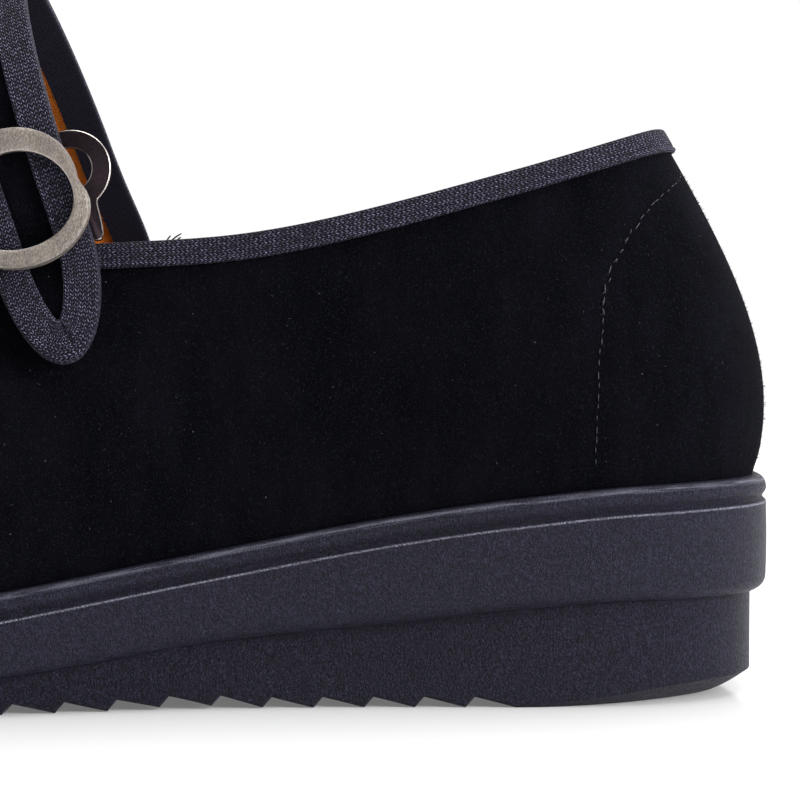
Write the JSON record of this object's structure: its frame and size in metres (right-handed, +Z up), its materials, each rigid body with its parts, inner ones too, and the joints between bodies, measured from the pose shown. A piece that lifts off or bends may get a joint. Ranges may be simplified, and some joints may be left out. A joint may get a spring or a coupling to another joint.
{
  "type": "cloth shoe",
  "caption": "Left velvet cloth shoe with a wedge sole, sawtooth tread, taped collar and an instep strap closed by a round buckle.",
  "frame": {"origin": "on the floor, under the middle of the sole's length and width", "axes": "+X to the toe, +Y to the outer side of the foot where the buckle is, +Z up"},
  "size_m": [0.245, 0.0837, 0.1294],
  "materials": {
    "outsole": "fine leather grain, satin, charcoal with a blue cast",
    "midsole": "fine leather grain, satin, charcoal with a blue cast",
    "lining": "matt woven cotton, orange",
    "velvet": "short black pile with pale lint",
    "tape": "herringbone woven tape, slight sheen",
    "ring": "pale satin metal with bright pressed edges",
    "plate": "darker satin metal"
  },
  "bodies": {
    "root": {"outsole": "outsole", "midsole": "midsole", "insole": "lining", "upper": "velvet", "collar_binding": "tape", "strap": "velvet", "strap_binding": "tape", "buckle_ring": "ring", "hook_plate": "plate"}
  },
  "joints": []
}
